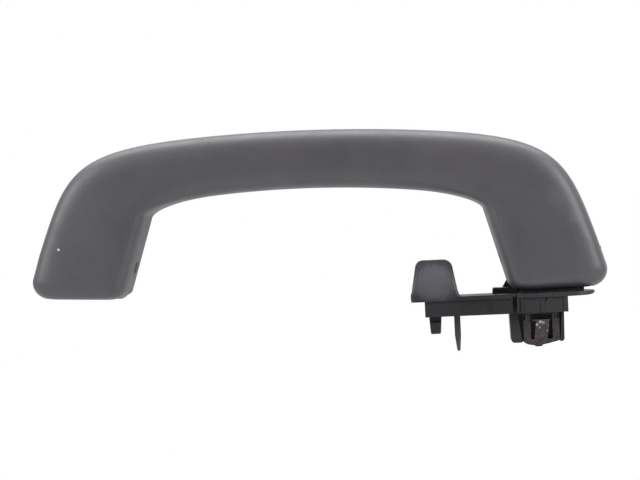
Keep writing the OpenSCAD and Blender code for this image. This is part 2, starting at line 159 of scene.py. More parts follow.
# The base in millimetres, before it leans: x from the clip tower, y to the back, z up from the seat
PLATE_UNDER, PLATE_TOP = 6.4, 8.2
PLATE_FRONT, PLATE_BACK = -13.0, 12.2
PLATE_LEFT, PLATE_RIGHT = -52.0, 24.5
PLATE_LEFT_R, PLATE_RIGHT_R = 2.0, 9.0
PLATE_TIP = [(13.5, 6.4), (21.5, 6.55), (23.6, 6.9), (24.6, 7.5), (24.6, 8.2)]

# The seam between the hook module and the bracket, with the tongue that lies in a socket behind it
SEAM, SEAM_GAP = -8.2, 0.25
SEAM_NOTCH, NOTCH_TOP = (-10.0, -8.0), 7.1
TONGUE_X = (-15.9, -9.9)
TONGUE_HALF = 4.0
TONGUE_Z = (2.6, 4.6)
SOCKET_X, SOCKET_PLAY = (-14.6, -11.4), 0.2

# The skirt's two parts, and the hook part's front and back walls that lap past its end
SKIRT_FRONT = -12.0
SKIRT_BACK = 11.2
SKIRT_WALL = 1.8
SKIRT_TOP = PLATE_UNDER + 0.1
HOOK_SKIRT, BRACKET_SKIRT = (-46.4, -11.7), (SEAM, 12.8)
LAP_X = (-14.0, -10.0)
CROSS_RIBS, CROSS_RIB_T = (-39.7, -33.9), 1.4

# Ribs and marks on the skirt's front: x from and to, z from and to
RIB_FRONT, RIB_BACK = -12.45, -11.6
BRACKET_RIBS = (
    (-8.2, -7.4, 0, 6.4),
    (-6.4, -5.6, 0, 6.4),
    (-8.2, -3.8, 5.7, 6.0),
    (1.7, 2.7, 0, 4.6),
    (11.0, 12.8, 0, 6.4),
)
HOOK_MARK = (-19.3, -18.9, -12.4, -11.5, 1.3, 4.9)
BRACKET_NOTCH = [(3.2, 6.1), (4.8, 6.1), (3.5, 4.3)]

# The clip tower: core, cheeks and what ties them, as x, y and z from and to
TOWER_HALF = 6.0
CORE_LEFT = -5.8
CORE_RIGHT = 9.1
CORE_UNDER = -11.6
BOW = 1.5
BOW_POWER = 0.7
BOW_TILT = 0.4
BOW_STEPS = 14
CHEEK_FOOT = -12.5
LEFT_CHEEK = dict(top=(-11.4, -8.0), foot=(-11.1, -6.4), radii=(1.6, 0.3))
RIGHT_CHEEK = dict(top=(10.35, 11.35), foot=(9.25, 11.05), radii=(0.3, 1.2))
BACK_WEB = (-10.5, 10.8, 2.6, 5, -10.6, 3)
TOWER_ROOT = (-9.8, 10.6, -5, 5, 1, 6.4)
LEFT_FILLING = (-8.4, -5.6, -3.4, 5, -12.2, 3)
RIGHT_FILLING = (9.0, 10.5, -3.4, 5, -12.0, 3)
WINDOW_X = (-2.8, 6.2)
WINDOW_FOOT = -11.2
WINDOW_TOP = -0.4
WINDOW_DEPTH = 3.2
LEFT_SLIT, LEFT_SLIT_Z = (-5.6, -5.1), (-3.1, -1.2)
RIGHT_SLIT, RIGHT_SLIT_Z = (8.4, 8.9), (-2.8, -1.1)
SLIT_END, SLIT_FRONT = -3.0, -9.0
NUB_LEFT = -1.5
NUB_RIGHT = 2.3
NUB_FOOT = -14.6
NUB_R = 1.1
NUB_HALF = 1.9

# The spring clip of bent sheet, whose tongues slant outwards
CLIP_T = 0.8
CLIP_TOP = -0.3
CLIP_WINDOW_TOP = -0.7
CLIP_SLIT, BACK_SLIT = (-5.6, -5.0), (-5.6, -4.3)
CLIP_TONGUE_TOP = -3.0
CLIP_TONGUE_FOOT = -11.4
CLIP_TONGUE_ROOT = -11.7
CLIP_TONGUE_OUT = 1.6
CLIP_TONGUE = [
    (-1.9, -3.0), (-1.9, -3.5), (-0.5, -3.5), (-1.6, -11.7),
    (3.9, -11.7), (4.9, -3.5), (5.2, -3.5), (5.2, -3.0),
]
NUB_PLAY = 0.1

# The hinge part of the bracket, which doesn't lean: z from the seat
HINGE_FOOT = 8.0
PAD_TOP = 10.9
PAD_BACK = 11.6
EAR_R = 6.8
EAR_T = 2.5
EAR_BORE = PIN_R + 0.05
PEDESTAL_LEFT = -18.5
PEDESTAL_TOP = 10.8
PEDESTAL_R = 0.7
PEDESTAL_Y = (0.6, 11.7)
REAR_SLOPE = [(-14.4, 10.5), (-11.6, 15.4)]
REAR_TOP = 15.4
REAR_Y = (9.2, 11.75)

# The coat hook's blade: its sides lean in from the root, and it curls back towards a rounded tip
HOOK_LEFT, HOOK_RIGHT = -52.1, -32.0
HOOK_LEFT_LEAN, HOOK_RIGHT_LEAN = 10.1, 10.2
HOOK_ROOT = (7.2, -52.15, -30.6)
HOOK_ROOT_R = 1.3
HOOK_STRAIGHT_TOP = 19.6
HOOK_FRONT = 12.9
HOOK_T = 4.2
HOOK_CURL = 6.0
HOOK_RISE = 15.4
HOOK_SQUARE = 5.0
HOOK_LEFT_CORNER, HOOK_LEFT_R = (-46.75, 20.7), 3.1
HOOK_RIGHT_CORNER, HOOK_RIGHT_R = (-38.2, 19.7), 4.1
HOOK_TIP_ROUND = 1.5

# The lug, with its outline seen from the side, and the locating pin
LUG_SIDE = [(-6, 6.4), (-8.6, 6.4), (-8.6, -1.8), (-10.2, -2.4), (-10.2, -6.6), (-9.6, -7.2), (-6, -7.2)]
LUG_LEFT = -44.9
LUG_RIGHT = -39.7
LUG_FOOT = -7.2
LUG_TAPER = 0.5
LUG_R = 0.6
LOCATOR_LEFT = -34.5
LOCATOR_RIGHT = -31.9
LOCATOR_HALF = 2.5
LOCATOR_TAPER = -8.5
LOCATOR_TIP = (-33.1, -14.4)
LOCATOR_R = 0.7

# Widths of the rounded edges
BRACKET_EDGE = 0.18
HOOK_EDGE = 0.2
CLIP_EDGE = 0.1

# Two tones of each finish, and the clip's bare steel
HANDLE_TONES = (0.037, 0.035, 0.041), (0.044, 0.0415, 0.048)
BRACKET_TONES = (0.013, 0.0125, 0.0143), (0.018, 0.0174, 0.02)
HOOK_TONES = (0.01, 0.0096, 0.011), (0.014, 0.0134, 0.0155)
SEAL_TONES = (0.012, 0.012, 0.013), (0.02, 0.02, 0.022)
HOUSING_TONES = (0.6, 0.56, 0.46), (0.68, 0.64, 0.55)
ROTOR_TONES = (0.72, 0.7, 0.63), (0.78, 0.76, 0.7)
CAP_TONES = (0.22, 0.22, 0.24), (0.28, 0.28, 0.3)
CLIP_TONES = (0.03, 0.026, 0.026), (0.06, 0.052, 0.05)
PIN_TONES = (0.55, 0.55, 0.57), (0.38, 0.36, 0.33)
WORN_STEEL = (0.5, 0.49, 0.47)

# The white nick, a faint scuff and rubbed patches on the handle: place, radius, strength and colour
RUBBED = (0.12, 0.115, 0.12)
HANDLE_WEAR = (
    ((-201.6, -13.0, 31.9), 0.55, 0.9, (0.55, 0.53, 0.5)),
    ((-208.5, -13.0, 41.5), 1.0, 0.25, (0.16, 0.155, 0.16)),
    ((16.5, -13.0, 40.5), 3.4, 0.16, RUBBED),
    ((22.0, -13.0, 42.0), 2.2, 0.16, RUBBED),
    ((8.0, -13.0, 48.0), 4.0, 0.08, RUBBED),
)

# Painted highlight on the hook module: its lit face and its locating pin are painted paler; also a small pale
# spot on the skirt
HOOK_HIGHLIGHT = (0.06, 0.058, 0.067)
HOOK_PATCHES = (
    ((-46.4, -12.0, 12.5), 5.8, 0.75, HOOK_HIGHLIGHT),
    ((-40.0, -12.0, 12.5), 6.0, 0.75, HOOK_HIGHLIGHT),
    ((-45.2, -10.5, 17.0), 5.4, 0.75, HOOK_HIGHLIGHT),
    ((-41.2, -10.5, 17.0), 5.4, 0.75, HOOK_HIGHLIGHT),
    ((-43.2, -11.5, 14.0), 7.0, 0.6, (0.07, 0.067, 0.077)),
    ((-33.1, -2.5, -7.5), 9.0, 0.9, (0.06, 0.06, 0.062)),
    ((-22.6, -12.5, 1.9), 0.5, 0.5, (0.12, 0.12, 0.12)),
)

# Bright worn spots on the clip's tongue: place, radius and strength
CLIP_WEAR = (
    ((0.6, -8.3, -3.5), 0.7, 0.5),
    ((1.9, -8.3, -3.8), 0.6, 0.4),
    ((-0.7, -8.0, -4.6), 0.6, 0.5),
    ((0.4, -7.9, -5.9), 0.4, 0.4),
    ((4.3, -7.8, -5.0), 0.5, 0.4),
    ((4.5, -7.5, -6.3), 0.5, 0.35),
    ((3.6, -7.6, -7.2), 0.5, 0.3),
)


def tilt(degrees):
    """Unit vector down a side that leans outward by so many degrees."""
    a = math.radians(degrees)
    return np.array([math.sin(a), -math.cos(a)])


def on_circle(centre, radius, degrees):
    a = math.radians(degrees)
    return np.array(centre) + radius * np.array([math.cos(a), math.sin(a)])


def mix(a, b, k):
    return a + (b - a) * k


def ease(k):
    return k * k * (3 - 2 * k)


def bezier(p, t):
    s = 1 - t
    return s**3 * p[0] + 3 * s * s * t * p[1] + 3 * s * t * t * p[2] + t**3 * p[3]


def long_arc(top, radius, x):
    return np.array([x, top - radius + math.sqrt(radius * radius - x * x)])


def shoulder(top, radius, half, lean, pull, tuck, line):
    """The curve from the end of the bar's arc to the start of the leg's straight side."""
    start = long_arc(top, radius, GRIP_FLAT)
    slope = math.asin(GRIP_FLAT / radius)
    end = np.array([half, 0.0]) - tilt(lean) * line
    along = np.array([math.cos(slope), -math.sin(slope)])
    return [start, start + pull * along, end - tuck * tilt(lean), end]


OUTER_CURVE = shoulder(GRIP_TOP, TOP_RADIUS, OUTER_HALF, OUTER_LEAN, OUTER_PULL, OUTER_TUCK, OUTER_LINE)
INNER_CURVE = shoulder(
    GRIP_UNDER, UNDER_RADIUS, INNER_HALF, INNER_LEAN, INNER_PULL, INNER_TUCK, INNER_LINE
)
OUTER_CENTRE = np.array([
    OUTER_HALF + FOOT_OUTER * math.tan(math.radians(OUTER_LEAN))
    - FOOT_OUTER_R * math.tan(math.radians(45 + OUTER_LEAN / 2)),
    FOOT_OUTER_R - FOOT_OUTER,
])
INNER_CENTRE = np.array([
    INNER_HALF + FOOT_INNER * math.tan(math.radians(INNER_LEAN))
    + FOOT_INNER_R * math.tan(math.radians(45 - INNER_LEAN / 2)),
    FOOT_INNER_R - FOOT_INNER,
])


def station(outer, inner, front, back, square, draft, crease):
    return dict(outer=outer, inner=inner, front=front, back=back, square=square, draft=draft, crease=crease)


def bar_station(k):
    return station(
        long_arc(GRIP_TOP, TOP_RADIUS, GRIP_FLAT * k), long_arc(GRIP_UNDER, UNDER_RADIUS, GRIP_FLAT * k),
        BAR_FRONT, BAR_BACK, BAR_SQUARE, 0.0, 0.0,
    )


def shoulder_station(t):
    k = ease(t)
    return station(
        bezier(OUTER_CURVE, t), bezier(INNER_CURVE, t), mix(BAR_FRONT, LEG_FRONT, k),
        mix(BAR_BACK, LEG_BACK, k), mix(BAR_SQUARE, LEG_SQUARE, k), k,
        ease(max(0.0, (t - CREASE_START) / (1 - CREASE_START))),
    )


def leg_station(t):
    outer = mix(OUTER_CURVE[3], on_circle(OUTER_CENTRE, FOOT_OUTER_R, OUTER_LEAN), t)
    inner = mix(INNER_CURVE[3], on_circle(INNER_CENTRE, FOOT_INNER_R, 180 + INNER_LEAN), t)
    return station(outer, inner, LEG_FRONT, LEG_BACK, LEG_SQUARE, 1.0, 1.0)


def foot_station(t):
    turn = math.radians(90 * t)
    return station(
        on_circle(OUTER_CENTRE, FOOT_OUTER_R, mix(OUTER_LEAN, -90, t)),
        on_circle(INNER_CENTRE, FOOT_INNER_R, mix(180 + INNER_LEAN, 270, t)),
        LEG_FRONT - FOOT_FRONT_R * (1 - math.cos(turn)), LEG_BACK - FOOT_BACK_R * (1 - math.cos(turn)),
        LEG_SQUARE, 1.0, 1.0 - t,
    )


def power(c, n):
    return np.sign(c) * np.abs(c) ** (2 / n)


def section(s):
    """The rounded section at a station, evenly spaced along its outline, with the crease and its bead."""
    turn = np.linspace(0, 2 * math.pi, SECTION_SAMPLES)
    u, v = power(np.cos(turn), s["square"]), power(np.sin(turn), s["square"])
    half = (s["outer"] - s["inner"]) / 2
    reach = float(np.hypot(*half))
    depth = (s["front"] + s["back"]) / 2
    forward = ((1 - v) / 2) ** DRAFT_POWER * s["draft"] / reach / 2
    w = u + forward * (INNER_DRAFT * (1 - u) - OUTER_DRAFT * (1 + u))
    y = (s["back"] - s["front"]) / 2 + depth * v
    length = np.concatenate([[0], np.cumsum(np.hypot(np.diff(w) * reach, np.diff(y)))])
    even = np.linspace(0, length[-1], RING_POINTS, endpoint=False)
    w, y, v = (np.interp(even, length, a) for a in (w, y, v))
    inset = (1 + w) * reach
    front = np.clip((-v - FRONT_SHARE) / (1 - FRONT_SHARE), 0, 1)
    groove = CREASE_DEPTH * np.exp(-(((inset - CREASE_INSET) / CREASE_WIDTH) ** 2))
    bead = BEAD_HEIGHT * np.exp(-(((inset - BEAD_INSET) / BEAD_WIDTH) ** 2))
    y = y + s["crease"] * front * (groove - bead)
    middle = (s["outer"] + s["inner"]) / 2
    return np.column_stack([middle[0] + half[0] * w, y, middle[1] + half[1] * w])


def new_mesh(name, points, faces, scale=MM):
    mesh = bpy.data.meshes.new(name)
    mesh.from_pydata([tuple(float(c) * scale for c in p) for p in points], [], faces)
    mesh.validate()
    piece = bpy.data.objects.new(name, mesh)
    bpy.context.scene.collection.objects.link(piece)
    return piece


def grip_stations():
    half = [bar_station(i / BAR_RINGS) for i in range(BAR_RINGS)]
    half += [shoulder_station(i / SHOULDER_RINGS) for i in range(SHOULDER_RINGS)]
    half += [leg_station(i / LEG_RINGS) for i in range(LEG_RINGS)]
    half += [foot_station(i / FOOT_RINGS) for i in range(FOOT_RINGS + 1)]
    flip = np.array([-1.0, 1.0])
    mirrored = [dict(s, outer=s["outer"] * flip, inner=s["inner"] * flip) for s in half[:0:-1]]
    return mirrored + half


def loft(name, stations):
    """A closed skin through the sections of all stations, in handle coordinates."""
    rings = [section(s) for s in stations]
    n = RING_POINTS
    points = np.vstack(rings)
    faces = []
    for i in range(len(rings) - 1):
        for j in range(n):
            a, b = i * n + j, i * n + (j + 1) % n
            faces.append((a, a + n, b + n, b))
    faces.append(tuple(range(n)))
    faces.append(tuple(range(len(points) - 1, len(points) - n - 1, -1)))
    return new_mesh(name, points, faces)


def prism(name, outline, low, high, place):
    """A solid drawn from a flat outline between two heights; place maps its own axes to the row's."""
    n = len(outline)
    points = [place(x, y, low) for x, y in outline] + [place(x, y, high) for x, y in outline]
    faces = [tuple(range(n - 1, -1, -1)), tuple(range(n, 2 * n))]
    faces += [(i, (i + 1) % n, n + (i + 1) % n, n + i) for i in range(n)]
    piece = new_mesh(name, points, faces)
    outward(piece)
    return piece


def outward(piece):
    work = bmesh.new()
    work.from_mesh(piece.data)
    bmesh.ops.recalc_face_normals(work, faces=work.faces)
    work.to_mesh(piece.data)
    work.free()


def arc(centre, radius, start, end, steps):
    return [tuple(on_circle(centre, radius, mix(start, end, i / steps))) for i in range(steps + 1)]


def disc(radius):
    return arc((0, 0), radius, 0, 360 * (DISC_STEPS - 1) / DISC_STEPS, DISC_STEPS - 1)


def along_x(name, outline, low, high):
    return prism(name, outline, low, high, lambda a, b, c: (c, a, b))


def along_y(name, outline, low, high):
    return prism(name, outline, low, high, lambda a, b, c: (a, c, b))


def combine(piece, tool, operation):
    """Cuts, keeps or joins with another solid, and takes that solid away."""
    step = piece.modifiers.new("combine", "BOOLEAN")
    step.operation, step.object, step.solver = operation, tool, "EXACT"
    apply_modifiers(piece)
    bpy.data.objects.remove(tool, do_unlink=True)
    return piece


def apply_modifiers(piece):
    shown = piece.evaluated_get(bpy.context.evaluated_depsgraph_get())
    mesh = bpy.data.meshes.new_from_object(shown)
    piece.modifiers.clear()
    piece.data = mesh


def smooth(piece, degrees):
    for face in piece.data.polygons:
        face.use_smooth = True
    piece.data.set_sharp_from_angle(angle=math.radians(degrees))


def foot_hollow(side):
    """The hollow of one foot; side is 1 for the right foot and -1 for the left one."""
    lean = (OUTER_LEAN + INNER_LEAN) / 2
    a = math.radians(lean)
    inner, outer = INNER_HALF + INNER_WALL, OUTER_HALF - OUTER_WALL
    width = (outer - inner) * math.cos(a)
    middle, far, front = (inner + outer) / 2, LEG_BACK + BEYOND, HOLLOW_R + FOOT_WALL - LEG_FRONT

    def leaning(x, y, z):
        x -= width / 2
        return (side * (middle + x * math.cos(a) - z * math.sin(a)), y, x * math.sin(a) + z * math.cos(a))

    plan = [(width, far), (0, far)] + arc((HOLLOW_R, front), HOLLOW_R, 180, 270, 12)
    plan += arc((width - HOLLOW_R, front), HOLLOW_R, 270, 360, 12)
    hollow = prism("hollow", plan, -2 * BEYOND, 2 * BEYOND, leaning)
    edge_y, edge_z = FOOT_FRONT_R - LEG_FRONT, FOOT_FRONT_R - (FOOT_OUTER + FOOT_INNER) / 2
    low = -FOOT_OUTER - BEYOND
    profile = [(far, HOLLOW_TOP), (FOOT_WALL - LEG_FRONT, HOLLOW_TOP)]
    profile += arc((edge_y, edge_z), FOOT_FRONT_R - FOOT_WALL, 180, 270, 10) + [(edge_y, low), (far, low)]
    ends = sorted((side * (INNER_HALF - BEYOND), side * (OUTER_HALF + BEYOND)))
    combine(hollow, along_x("profile", profile, *ends), "INTERSECT")
    near, past, high = INNER_HALF - BEYOND / 2, OUTER_HALF + BEYOND / 2, 2 * BEYOND
    face = [(near, high), (near, low), (OUTER_CENTRE[0], low)]
    face += arc(OUTER_CENTRE, FOOT_OUTER_R - FOOT_WALL, -90, OUTER_LEAN, 12)
    face += [(past, OUTER_CENTRE[1] + HOLLOW_RISE), (past, high)]
    face = [(side * x, z) for x, z in face]
    return combine(hollow, along_y("face", face, -BEYOND, far + 1), "INTERSECT")


def foot_sweep(side):
    """What is taken off the foot's lower back, so that it turns past the bracket."""
    far = LEG_BACK + BEYOND
    outline = [(0, -BEYOND), (far, -BEYOND), (far, 0)] + arc((0, 0), SWEEP_R, 0, -90, 40)
    ends = sorted((side * (INNER_HALF - BEYOND), side * (OUTER_HALF + BEYOND)))
    return along_x("sweep", outline, *ends)


def cylinder(radius, x0, x1):
    return along_x("cylinder", disc(radius), min(x0, x1), max(x0, x1))


def countersink(side):
    """A small cone round the mouth of the pin hole."""
    mouth, deep = INNER_HALF - SINK_WIDE, INNER_HALF + SINK_DEEP
    wide, small = PIN_R + SINK_WIDE, PIN_R - 0.05
    ring = disc(1.0)
    n = len(ring)
    points = [(side * mouth, wide * y, wide * z) for y, z in ring]
    points += [(side * deep, small * y, small * z) for y, z in ring]
    faces = [tuple(range(n)), tuple(range(2 * n - 1, n - 1, -1))]
    faces += [(i, n + i, n + (i + 1) % n, (i + 1) % n) for i in range(n)]
    cone = new_mesh("cone", points, faces)
    outward(cone)
    return cone


def grip():
    """The handle's moulding: a smooth loft with hollow feet, bosses and pin holes."""
    body = loft("grip", grip_stations())
    outward(body)
    pin_end = PIN_END + MOUNT_OFFSET + SIDE_GAP
    inside_boss, outside_boss = EAR_LEFT + MOUNT_OFFSET - SIDE_GAP, EAR_RIGHT + MOUNT_OFFSET + SIDE_GAP
    outer_wall = OUTER_HALF - OUTER_WALL + 1
    for side in (-1, 1):
        combine(body, foot_hollow(side), "DIFFERENCE")
        combine(body, foot_sweep(side), "DIFFERENCE")
        combine(body, cylinder(BOSS_R, side * (INNER_HALF + FOOT_WALL), side * inside_boss), "UNION")
        combine(body, cylinder(BOSS_R, side * outside_boss, side * outer_wall), "UNION")
        combine(body, cylinder(PIN_R + PIN_PLAY, side * (INNER_HALF - BEYOND), side * pin_end), "DIFFERENCE")
        combine(body, countersink(side), "DIFFERENCE")
    body.data.transform(Matrix.Translation((-MOUNT_OFFSET * MM, 0, PIVOT_Z * MM)))
    smooth(body, GRIP_SMOOTH)
    return body


def lean_base(piece):
    """Leans a piece of the base about the hinge axis, as the base leans in the photograph."""
    axis = Matrix.Translation((0, 0, PIVOT_Z * MM))
    lean = axis @ Matrix.Rotation(math.radians(-BASE_LEAN), 4, "Y") @ axis.inverted()
    piece.data.transform(Matrix.Translation((BASE_SHIFT[0] * MM, 0, BASE_SHIFT[1] * MM)) @ lean)
    return piece


def block(x0, x1, y0, y1, z0, z1):
    return along_x("block", [(y0, z0), (y1, z0), (y1, z1), (y0, z1)], x0, x1)


def joined(name, pieces):
    """One solid from several that touch or overlap."""
    whole = pieces[0]
    for piece in pieces[1:]:
        combine(whole, piece, "UNION")
    whole.name = name
    return whole


def without(whole, *tools):
    for tool in tools:
        combine(whole, tool, "DIFFERENCE")
    return whole


def round_edges(piece, width, segments=3):
    """Rounds the sharp edges of a solid a little."""
    edge = piece.modifiers.new("edge", "BEVEL")
    edge.width, edge.segments, edge.limit_method = width * MM, segments, "ANGLE"
    edge.angle_limit, edge.use_clamp_overlap = math.radians(BEVEL_ANGLE), True
    apply_modifiers(piece)
    smooth(piece, BASE_SMOOTH)
    piece.modifiers.new("normals", "WEIGHTED_NORMAL").keep_sharp = True
    apply_modifiers(piece)
    return piece


def plate(face):
    """The cover plate, rounded at its corners, as far as a face seen from the front reaches."""
    small, large = PLATE_LEFT_R, PLATE_RIGHT_R
    left, right = PLATE_LEFT + small, PLATE_RIGHT - large
    outline = arc((left, PLATE_FRONT + small), small, 180, 270, 8)
    outline += arc((right, PLATE_FRONT + large), large, 270, 360, 16)
    outline += arc((right, PLATE_BACK - large), large, 0, 90, 16)
    outline += arc((left, PLATE_BACK - small), small, 90, 180, 8)
    whole = prism("plate", outline, PLATE_UNDER, PLATE_TOP, lambda a, b, c: (a, b, c))
    return combine(whole, along_y("part", face, -BEYOND, BEYOND), "INTERSECT")


def skirt(x0, x1):
    """A stretch of the skirt: a box open to the seat, up into the plate."""
    wall = SKIRT_WALL
    room = block(x0 + wall, x1 - wall, SKIRT_FRONT + wall, SKIRT_BACK - wall, -1, PLATE_UNDER)
    return without(block(x0, x1, SKIRT_FRONT, SKIRT_BACK, 0, SKIRT_TOP), room)


def underside(z):
    """The bowed underside that the tower's core and the clip share."""
    line = []
    for i in range(BOW_STEPS + 1):
        k = i / BOW_STEPS
        bow = BOW * math.sin(math.pi * k**BOW_POWER) - BOW_TILT * k
        line.append((mix(CORE_LEFT, CORE_RIGHT, k), z - bow))
    return line


def cheek(top, foot, radii):
    """One cheek of the clip tower, from the skirt to its rounded end."""
    (x0, x1), (low0, low1), (r0, r1) = top, foot, radii
    outline = [(x0, PLATE_UNDER), (x0, 0)] + arc((low0 + r0, r0 + CHEEK_FOOT), r0, 180, 270, 8)
    outline += arc((low1 - r1, r1 + CHEEK_FOOT), r1, 270, 360, 8) + [(x1, 0), (x1, PLATE_UNDER)]
    return along_y("cheek", outline, -TOWER_HALF, TOWER_HALF)


def nub():
    """The small nub under the core, which the clip is hung on."""
    left, right, foot = NUB_LEFT + NUB_R, NUB_RIGHT - NUB_R, NUB_FOOT + NUB_R
    outline = [(NUB_RIGHT, CORE_UNDER), (NUB_LEFT, CORE_UNDER)]
    outline += arc((left, foot), NUB_R, 180, 270, 6) + arc((right, foot), NUB_R, 270, 360, 6)
    return along_y("nub", outline, -NUB_HALF, NUB_HALF)


def tower():
    """The clip tower: a core with a window on each side, between two cheeks."""
    core = [(CORE_RIGHT, PLATE_UNDER), (CORE_LEFT, PLATE_UNDER)] + underside(CORE_UNDER)
    pieces = [
        along_y("core", core, -TOWER_HALF, TOWER_HALF), nub(), block(*BACK_WEB), block(*TOWER_ROOT),
        cheek(**LEFT_CHEEK), cheek(**RIGHT_CHEEK), block(*LEFT_FILLING), block(*RIGHT_FILLING),
    ]
    floor_y, past = TOWER_HALF - WINDOW_DEPTH, TOWER_HALF + 1
    return without(
        joined("tower", pieces),
        block(*WINDOW_X, -past, -floor_y, WINDOW_FOOT, WINDOW_TOP),
        block(*WINDOW_X, floor_y, past, WINDOW_FOOT, WINDOW_TOP),
        block(*LEFT_SLIT, SLIT_FRONT, SLIT_END, *LEFT_SLIT_Z),
        block(*RIGHT_SLIT, SLIT_FRONT, SLIT_END, *RIGHT_SLIT_Z),
    )


def hinge_part():
    """The ears, the pedestal in the foot's opening and the rear wall, round the hinge axis."""
    ear = [(-EAR_R, HINGE_FOOT), (EAR_R, HINGE_FOOT)] + arc((0, PIVOT_Z), EAR_R, 0, 180, 36)
    corner = (PEDESTAL_LEFT + PEDESTAL_R, PEDESTAL_TOP - PEDESTAL_R)
    pedestal = [(PEDESTAL_LEFT - 0.1, HINGE_FOOT)] + arc(corner, PEDESTAL_R, 180, 90, 5)
    pedestal += [(EAR_RIGHT, PAD_TOP), (EAR_RIGHT, HINGE_FOOT)]
    rear = REAR_SLOPE + [(EAR_RIGHT, REAR_TOP), (EAR_RIGHT, REAR_SLOPE[0][1])]
    pieces = [
        block(EAR_LEFT - 0.1, EAR_RIGHT, -EAR_R, PAD_BACK, HINGE_FOOT, PAD_TOP),
        along_y("pedestal", pedestal, *PEDESTAL_Y), along_y("rear", rear, *REAR_Y),
        along_x("ear", ear, EAR_LEFT, EAR_LEFT + EAR_T), along_x("ear", ear, EAR_RIGHT - EAR_T, EAR_RIGHT),
    ]
    bore = [(y, z + PIVOT_Z) for y, z in disc(EAR_BORE)]
    return without(joined("hinge", pieces), along_x("bore", bore, EAR_LEFT - 2, EAR_RIGHT + 2))


def bracket_base():
    """The bracket's moulding: plate, skirt with its ribs and marks, tower and hinge part."""
    face = [(SEAM, PLATE_UNDER)] + PLATE_TIP + [(SEAM, PLATE_TOP)]
    pieces = [plate(face), skirt(*BRACKET_SKIRT), tower()]
    pieces += [block(x0, x1, RIB_FRONT, RIB_BACK, z0, z1) for x0, x1, z0, z1 in BRACKET_RIBS]
    pieces.append(block(*TONGUE_X, -TONGUE_HALF, TONGUE_HALF, *TONGUE_Z))
    notch = along_y("notch", BRACKET_NOTCH, PLATE_FRONT - 1, -11.3)
    body = lean_base(without(joined("bracket", pieces), notch))
    combine(body, hinge_part(), "UNION")
    return round_edges(body, BRACKET_EDGE)


def hook_station(z, left, right, inset=0.0):
    """A level section of the hook's blade, which lies further back the higher it is."""
    curl = HOOK_CURL * (max(0.0, z - PLATE_TOP) / HOOK_RISE) ** 2
    front = HOOK_FRONT - curl - inset
    back = HOOK_T + curl - HOOK_FRONT - inset
    return station(np.array([left, z]), np.array([right, z]), front, back, HOOK_SQUARE, 0.0, 0.0)


def hook_blade():
    """The upright coat hook, with a fillet at its right root and a rounded tip."""
    rows = [hook_station(*HOOK_ROOT)]
    for i in range(7):
        a = math.radians(90 * i / 6)
        fillet_z = PLATE_TOP + HOOK_ROOT_R * (1 - math.cos(a))
        rows.append(hook_station(fillet_z, HOOK_LEFT, HOOK_RIGHT + HOOK_ROOT_R * (1 - math.sin(a))))
    for i in range(1, 8):
        z = mix(PLATE_TOP + HOOK_ROOT_R, HOOK_STRAIGHT_TOP, i / 8)
        left = HOOK_LEFT + (z - PLATE_TOP) * math.tan(math.radians(HOOK_LEFT_LEAN))
        right = HOOK_RIGHT - (z - PLATE_TOP) * math.tan(math.radians(HOOK_RIGHT_LEAN))
        rows.append(hook_station(z, left, right))
    for i in range(13):
        t = i / 12
        outer = on_circle(HOOK_LEFT_CORNER, HOOK_LEFT_R, mix(180 - HOOK_LEFT_LEAN, 90, t))
        inner = on_circle(HOOK_RIGHT_CORNER, HOOK_RIGHT_R, mix(HOOK_RIGHT_LEAN, 90, t))
        inset = HOOK_TIP_ROUND * (1 - math.sqrt(1 - t * t))
        tip = hook_station((outer[1] + inner[1]) / 2, 0, 0, inset)
        rows.append(dict(tip, outer=outer, inner=inner))
    blade = loft("blade", rows)
    outward(blade)
    return blade


def lug():
    """The lug that hooks under the roof panel, tapered and rounded at its end."""
    left, right, foot = LUG_LEFT + LUG_TAPER + LUG_R, LUG_RIGHT - LUG_TAPER - LUG_R, LUG_FOOT + LUG_R
    face = [(LUG_RIGHT, PLATE_UNDER), (LUG_LEFT, PLATE_UNDER), (LUG_LEFT, 0)]
    face += arc((left, foot), LUG_R, 180, 270, 5) + arc((right, foot), LUG_R, 270, 360, 5) + [(LUG_RIGHT, 0)]
    body = along_x("lug", LUG_SIDE, LUG_LEFT - 1, LUG_RIGHT + 1)
    return combine(body, along_y("face", face, -BEYOND, BEYOND), "INTERSECT")


def locator():
    """The locating pin, which narrows to a round tip."""
    outline = [(LOCATOR_LEFT, PLATE_UNDER), (LOCATOR_LEFT, LOCATOR_TAPER)]
    outline += arc(LOCATOR_TIP, LOCATOR_R, 180, 360, 10)
    outline += [(LOCATOR_RIGHT, LOCATOR_TAPER), (LOCATOR_RIGHT, PLATE_UNDER)]
    return along_y("locator", outline, -LOCATOR_HALF, LOCATOR_HALF)


def hook_base():
    """The hook module's moulding: plate, skirt, lug, locating pin and the hook itself."""
    end, wall = SEAM - SEAM_GAP, SKIRT_WALL
    face = [(PLATE_LEFT, PLATE_UNDER), (end, PLATE_UNDER), (end, PLATE_TOP), (PLATE_LEFT, PLATE_TOP)]
    pieces = [
        plate(face), skirt(*HOOK_SKIRT),
        block(*LAP_X, SKIRT_FRONT, SKIRT_FRONT + wall, 0, SKIRT_TOP),
        block(*LAP_X, SKIRT_BACK - wall, SKIRT_BACK, 0, SKIRT_TOP), block(*HOOK_MARK),
    ]
    for x in CROSS_RIBS:
        pieces.append(block(x, x + CROSS_RIB_T, SKIRT_FRONT + 1, SKIRT_BACK - 1.2, 1, SKIRT_TOP + 0.1))
    pieces += [locator(), lug()]
    side, (low, high) = TONGUE_HALF + SOCKET_PLAY, TONGUE_Z
    body = without(
        joined("coat_hook", pieces),
        block(*SOCKET_X, -side, side, low - SOCKET_PLAY, high + SOCKET_PLAY),
        block(*SEAM_NOTCH, PLATE_FRONT - 1, SKIRT_FRONT + wall, 0, NOTCH_TOP),
    )
    combine(body, hook_blade(), "UNION")
    return round_edges(lean_base(body), HOOK_EDGE)


